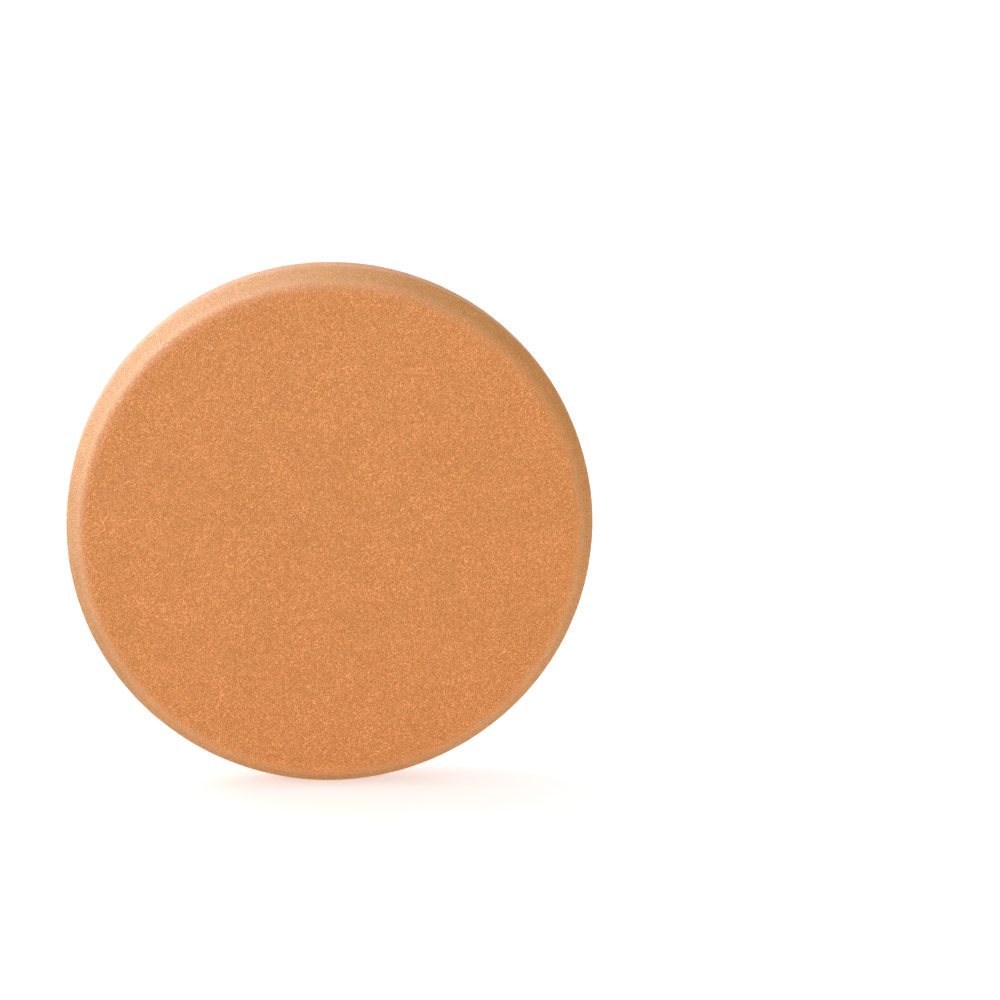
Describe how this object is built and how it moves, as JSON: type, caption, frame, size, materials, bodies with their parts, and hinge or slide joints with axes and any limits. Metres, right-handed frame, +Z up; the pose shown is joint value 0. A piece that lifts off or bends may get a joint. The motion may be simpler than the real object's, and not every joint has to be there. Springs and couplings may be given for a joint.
{
  "type": "foam polishing pad",
  "caption": "Round open-cell foam polishing pad with a bevelled working face, a coved back and a bonded loop-cloth disc that grips a hook-faced backing plate.",
  "frame": {"origin": "on the surface that the rim stands on, under the middle of the pad's length, width and thickness", "axes": "+Y along the pad's axis, out of the loop cloth; the working face looks to -Y; +Z up, across the upright disc; +X to the right when the working face is seen from the front"},
  "size_m": [0.15, 0.025, 0.15],
  "materials": {
    "foam": "matt open-cell polyurethane foam, orange",
    "adhesive": "translucent amber hot-melt film",
    "ground_knit": "fine warp-knitted ground",
    "loop_pile": "short brushed loops, pale lilac grey with a printed red mark and a faint violet dotted line"
  },
  "bodies": {
    "root": {"foam_disc": "foam", "adhesive_film": "adhesive", "loop_ground": "ground_knit", "loop_pile": "loop_pile"}
  },
  "joints": []
}
